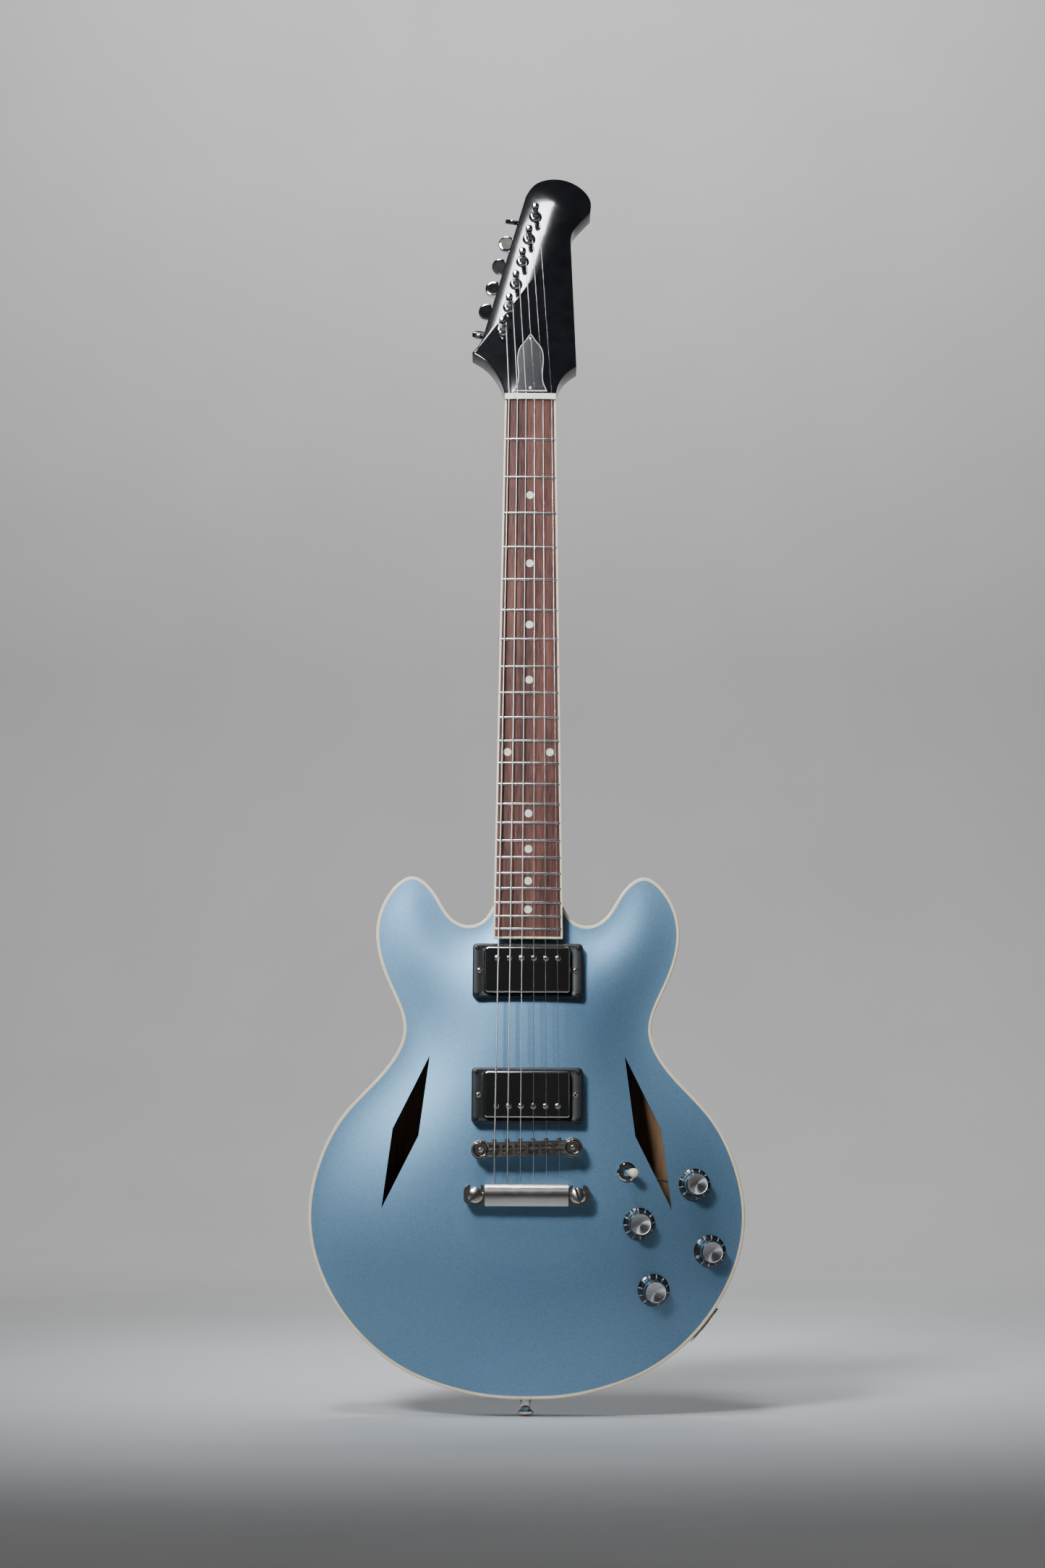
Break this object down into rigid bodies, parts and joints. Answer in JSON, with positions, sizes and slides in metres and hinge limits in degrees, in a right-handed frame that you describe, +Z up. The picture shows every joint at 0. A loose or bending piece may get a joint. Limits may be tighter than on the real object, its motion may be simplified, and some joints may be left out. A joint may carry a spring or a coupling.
{
  "type": "electric guitar",
  "caption": "Thinline semi-hollow electric guitar with double cutaway, diamond sound holes, two covered pickups, stop tailpiece and six-in-line headstock.",
  "frame": {"origin": "lowest point of the sides on the centre line, half way through their depth", "axes": "+Z up the neck, strings face -Y, +X towards the treble side"},
  "size_m": [0.3538, 0.1441, 1.0696],
  "materials": {
    "lacquered_body": "metallic pale blue gloss lacquer over wood",
    "cream_binding": "aged cream binding under clear lacquer",
    "bare_wood": "bare maple and spruce",
    "rosewood": "oiled rosewood",
    "black_lacquer": "black gloss lacquer over thin wood",
    "fret_wire": "polished nickel silver",
    "pearl": "pearl",
    "bone": "polished bone",
    "steel": "plain steel",
    "cover_plastic": "black over white laminate",
    "string_steel": "nickel-wound and plain steel",
    "tuner_chrome": "bright chrome",
    "ring_plastic": "black satin",
    "nickel": "polished nickel",
    "coil": "black bobbin with wrapped coil",
    "bridge_nickel": "worn nickel",
    "tail_nickel": "satin nickel",
    "knob_plastic": "black with a spun metal cap",
    "switch_metal": "nickel with a cream tip",
    "plate_metal": "polished nickel",
    "wire_cover": "insulated wire"
  },
  "bodies": {
    "guitar": {"body_back": "lacquered_body", "body_bindings": "cream_binding", "body_top": "lacquered_body", "bridge_bar": "bridge_nickel", "bridge_posts": "bridge_nickel", "centre_block": "bare_wood", "control_nuts": "nickel", "fretboard": "rosewood", "fretboard_binding": "cream_binding", "frets": "fret_wire", "headstock_veneer": "black_lacquer", "intonation_screws": "bridge_nickel", "jack_plate": "plate_metal", "kerfed_lining": "bare_wood", "neck": "lacquered_body", "nut": "bone", "output_jack": "nickel", "pickup_baseplates": "steel", "pickup_bobbins": "coil", "pickup_covers": "nickel", "pickup_height_screws": "nickel", "pickup_pole_screws": "nickel", "pickup_rings": "ring_plastic", "position_dots": "pearl", "potentiometers": "switch_metal", "rim": "lacquered_body", "stop_tailpiece": "tail_nickel", "strap_buttons": "nickel", "strings": "string_steel", "switch_body": "switch_metal", "tailpiece_studs": "tail_nickel", "truss_rod": "steel", "truss_rod_cover": "cover_plastic", "tuner_bushings": "tuner_chrome", "tuner_housings": "tuner_chrome", "wiring": "wire_cover", "wood_screws": "steel"},
    "tuner_key_1": {"tuner_key_1": "tuner_chrome"},
    "tuner_post_1": {"tuner_post_1": "tuner_chrome"},
    "tuner_key_2": {"tuner_key_2": "tuner_chrome"},
    "tuner_post_2": {"tuner_post_2": "tuner_chrome"},
    "tuner_key_3": {"tuner_key_3": "tuner_chrome"},
    "tuner_post_3": {"tuner_post_3": "tuner_chrome"},
    "tuner_key_4": {"tuner_key_4": "tuner_chrome"},
    "tuner_post_4": {"tuner_post_4": "tuner_chrome"},
    "tuner_key_5": {"tuner_key_5": "tuner_chrome"},
    "tuner_post_5": {"tuner_post_5": "tuner_chrome"},
    "tuner_key_6": {"tuner_key_6": "tuner_chrome"},
    "tuner_post_6": {"tuner_post_6": "tuner_chrome"},
    "saddle_1": {"saddle_1": "bridge_nickel"},
    "saddle_2": {"saddle_2": "bridge_nickel"},
    "saddle_3": {"saddle_3": "bridge_nickel"},
    "saddle_4": {"saddle_4": "bridge_nickel"},
    "saddle_5": {"saddle_5": "bridge_nickel"},
    "saddle_6": {"saddle_6": "bridge_nickel"},
    "knob_1": {"knob_1": "knob_plastic"},
    "knob_2": {"knob_2": "knob_plastic"},
    "knob_3": {"knob_3": "knob_plastic"},
    "knob_4": {"knob_4": "knob_plastic"},
    "toggle": {"toggle_lever": "switch_metal"}
  },
  "joints": [
    {"name": "tuner_key_1_turn", "type": "hinge", "parent": "guitar", "child": "tuner_key_1", "pos_m": [-0.04359, 0.0402, 0.9002], "axis": [-0.9759, 0.0757, 0.2046], "continuous": true},
    {"name": "tuner_post_1_turn", "type": "hinge", "parent": "guitar", "child": "tuner_post_1", "pos_m": [-0.024, 0.01699, 0.89712], "axis": [0, -0.9379, 0.3469], "continuous": true},
    {"name": "tuner_key_2_turn", "type": "hinge", "parent": "guitar", "child": "tuner_key_2", "pos_m": [-0.03801, 0.04886, 0.92361], "axis": [-0.9759, 0.0757, 0.2046], "continuous": true},
    {"name": "tuner_post_2_turn", "type": "hinge", "parent": "guitar", "child": "tuner_post_2", "pos_m": [-0.01842, 0.02565, 0.92053], "axis": [0, -0.9379, 0.3469], "continuous": true},
    {"name": "tuner_key_3_turn", "type": "hinge", "parent": "guitar", "child": "tuner_key_3", "pos_m": [-0.03243, 0.05752, 0.94702], "axis": [-0.9759, 0.0757, 0.2046], "continuous": true},
    {"name": "tuner_post_3_turn", "type": "hinge", "parent": "guitar", "child": "tuner_post_3", "pos_m": [-0.01284, 0.03431, 0.94395], "axis": [0, -0.9379, 0.3469], "continuous": true},
    {"name": "tuner_key_4_turn", "type": "hinge", "parent": "guitar", "child": "tuner_key_4", "pos_m": [-0.02685, 0.06618, 0.97044], "axis": [-0.9759, 0.0757, 0.2046], "continuous": true},
    {"name": "tuner_post_4_turn", "type": "hinge", "parent": "guitar", "child": "tuner_post_4", "pos_m": [-0.00726, 0.04297, 0.96736], "axis": [0, -0.9379, 0.3469], "continuous": true},
    {"name": "tuner_key_5_turn", "type": "hinge", "parent": "guitar", "child": "tuner_key_5", "pos_m": [-0.02127, 0.07484, 0.99385], "axis": [-0.9759, 0.0757, 0.2046], "continuous": true},
    {"name": "tuner_post_5_turn", "type": "hinge", "parent": "guitar", "child": "tuner_post_5", "pos_m": [-0.00168, 0.05163, 0.99077], "axis": [0, -0.9379, 0.3469], "continuous": true},
    {"name": "tuner_key_6_turn", "type": "hinge", "parent": "guitar", "child": "tuner_key_6", "pos_m": [-0.01569, 0.0835, 1.01726], "axis": [-0.9759, 0.0757, 0.2046], "continuous": true},
    {"name": "tuner_post_6_turn", "type": "hinge", "parent": "guitar", "child": "tuner_post_6", "pos_m": [0.0039, 0.0603, 1.01419], "axis": [0, -0.9379, 0.3469], "continuous": true},
    {"name": "saddle_1_slide", "type": "slide", "parent": "guitar", "child": "saddle_1", "axis": [-0.0314, 0, 0.9995], "range_m": [-0.002, 0.002]},
    {"name": "saddle_2_slide", "type": "slide", "parent": "guitar", "child": "saddle_2", "axis": [-0.0314, 0, 0.9995], "range_m": [-0.002, 0.002]},
    {"name": "saddle_3_slide", "type": "slide", "parent": "guitar", "child": "saddle_3", "axis": [-0.0314, 0, 0.9995], "range_m": [-0.002, 0.002]},
    {"name": "saddle_4_slide", "type": "slide", "parent": "guitar", "child": "saddle_4", "axis": [-0.0314, 0, 0.9995], "range_m": [-0.002, 0.002]},
    {"name": "saddle_5_slide", "type": "slide", "parent": "guitar", "child": "saddle_5", "axis": [-0.0314, 0, 0.9995], "range_m": [-0.002, 0.002]},
    {"name": "saddle_6_slide", "type": "slide", "parent": "guitar", "child": "saddle_6", "axis": [-0.0314, 0, 0.9995], "range_m": [-0.002, 0.002]},
    {"name": "knob_1_turn", "type": "hinge", "parent": "guitar", "child": "knob_1", "pos_m": [0.1355, -0.02443, 0.1712], "axis": [0.1296, -0.9909, 0.0354], "range_deg": [0, 300]},
    {"name": "knob_2_turn", "type": "hinge", "parent": "guitar", "child": "knob_2", "pos_m": [0.0905, -0.02979, 0.1398], "axis": [0.0733, -0.9972, -0.0118], "range_deg": [0, 300]},
    {"name": "knob_3_turn", "type": "hinge", "parent": "guitar", "child": "knob_3", "pos_m": [0.1478, -0.02275, 0.1182], "axis": [0.1128, -0.993, -0.0339], "range_deg": [0, 300]},
    {"name": "knob_4_turn", "type": "hinge", "parent": "guitar", "child": "knob_4", "pos_m": [0.1023, -0.02608, 0.0872], "axis": [0.1004, -0.991, -0.0889], "range_deg": [0, 300]},
    {"name": "toggle_throw", "type": "hinge", "parent": "guitar", "child": "toggle", "pos_m": [0.08038, -0.02705, 0.1811], "axis": [0.2855, 0.0511, 0.957], "range_deg": [-32, 0]}
  ],
  "couplings": [
    {"joint": "tuner_post_1_turn", "follows": "tuner_key_1_turn", "ratio": 0.066667},
    {"joint": "tuner_post_2_turn", "follows": "tuner_key_2_turn", "ratio": 0.066667},
    {"joint": "tuner_post_3_turn", "follows": "tuner_key_3_turn", "ratio": 0.066667},
    {"joint": "tuner_post_4_turn", "follows": "tuner_key_4_turn", "ratio": 0.066667},
    {"joint": "tuner_post_5_turn", "follows": "tuner_key_5_turn", "ratio": 0.066667},
    {"joint": "tuner_post_6_turn", "follows": "tuner_key_6_turn", "ratio": 0.066667}
  ]
}
